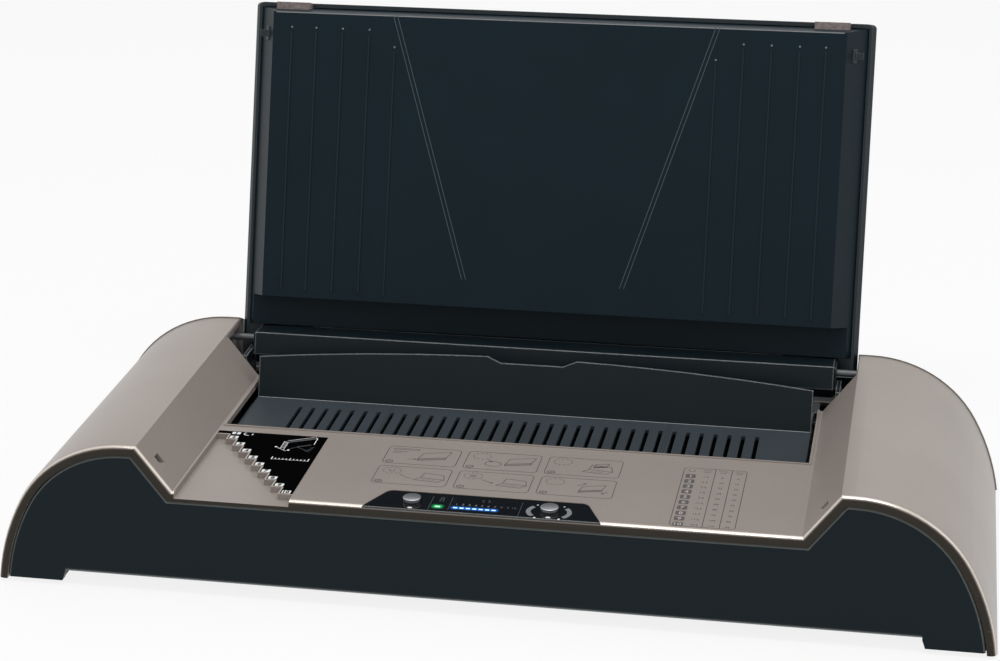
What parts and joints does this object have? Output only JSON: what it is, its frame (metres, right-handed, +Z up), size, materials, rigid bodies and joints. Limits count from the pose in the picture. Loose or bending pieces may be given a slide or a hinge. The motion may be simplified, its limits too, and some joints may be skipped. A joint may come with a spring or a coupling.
{
  "type": "thermal binding machine",
  "caption": "Desktop thermal binding machine with a hinged lid, sliding slotted tray and guide wall, document slot over a heating plate, stepped thickness gauge and small control panel.",
  "frame": {"origin": "on the ground under the middle of the machine's bounding box with the lid open", "axes": "+X to the user's right along the machine's width, +Y from the front fascia to the back, +Z up; the deck slopes 1.2 degrees down to the back"},
  "size_m": [0.5354, 0.281, 0.2619],
  "materials": {
    "shell_plastic": "satin pearl champagne",
    "fascia_plastic": "fine satin, blue black",
    "lid_plastic": "fine grained, blue black",
    "rear_plastic": "fine grained, blue black",
    "tray_plastic": "satin grey",
    "base_plastic": "plain moulded black",
    "gauge_black": "printed black",
    "lens_black": "clear gloss over black",
    "cap_silver": "satin silver plating",
    "lamp_green": "clear green",
    "lamp_blue": "clear blue",
    "clear_rubber": "soft and slightly clear",
    "foot_rubber": "matt",
    "steel_zinc": "zinc plated",
    "aluminium_plate": "dull rolled",
    "heater_foil": "orange heater film",
    "insulation": "pressed fibre board",
    "circuit_board": "green solder mask",
    "component_dark": "moulded component",
    "transformer_steel": "laminated steel",
    "blade_brass": "plated"
  },
  "bodies": {
    "casing": {"top_shell": "shell_plastic", "front_fascia": "fascia_plastic", "base_tray": "base_plastic", "rear_cover": "rear_plastic", "gauge_plate": "gauge_black", "control_lens": "lens_black", "panel_carrier": "base_plastic", "control_board": "circuit_board", "board_screws": "steel_zinc", "power_switch": "component_dark", "selector_encoder": "steel_zinc", "ready_light": "lamp_green", "scale_lights": "lamp_blue", "left_tray_rail": "base_plastic", "right_tray_rail": "base_plastic", "rear_guide": "lid_plastic", "heating_plate": "aluminium_plate", "heater_element": "heater_foil", "insulation_board": "insulation", "heat_shield": "steel_zinc", "thermal_fuse": "component_dark", "temperature_sensor": "component_dark", "left_hinge_bracket": "steel_zinc", "right_hinge_bracket": "steel_zinc", "mains_board": "circuit_board", "mains_screws": "steel_zinc", "transformer": "transformer_steel", "heater_relay": "component_dark", "filter_capacitors": "component_dark", "power_inlet": "component_dark", "inlet_blades": "blade_brass", "base_screws": "steel_zinc", "rubber_feet": "foot_rubber"},
    "lid": {"lid_outer_cover": "lid_plastic", "lid_inner_panel": "lid_plastic", "hinge_beam": "lid_plastic", "left_hinge_pin": "steel_zinc", "right_hinge_pin": "steel_zinc", "left_latch_peg": "lid_plastic", "right_latch_peg": "lid_plastic", "left_bumper": "clear_rubber", "right_bumper": "clear_rubber"},
    "tray_carriage": {"document_tray": "tray_plastic", "guide_wall": "lid_plastic", "left_tray_arm": "lid_plastic", "right_tray_arm": "lid_plastic"},
    "power_button": {"power_button": "cap_silver"},
    "selector": {"selector_knob": "cap_silver"}
  },
  "joints": [
    {"name": "lid_hinge", "type": "hinge", "parent": "casing", "child": "lid", "pos_m": [0, 0.05585, 0.0711], "axis": [1, 0, 0], "range_deg": [0, 107]},
    {"name": "tray_slide", "type": "slide", "parent": "casing", "child": "tray_carriage", "axis": [0, 0.9998, -0.0209], "range_m": [0, 0.01755]},
    {"name": "power_press", "type": "slide", "parent": "casing", "child": "power_button", "axis": [0, -0.0209, -0.9998], "range_m": [0, 0.0008], "stiffness_N_per_m": 400, "springref_m": -0.0005},
    {"name": "selector_turn", "type": "hinge", "parent": "casing", "child": "selector", "pos_m": [0.0347, -0.12732, 0.05994], "axis": [0, 0.0209, 0.9998], "range_deg": [-45, 45]}
  ],
  "couplings": [
    {"joint": "tray_slide", "follows": "lid_hinge", "m_per_rad": 0.0093708}
  ]
}
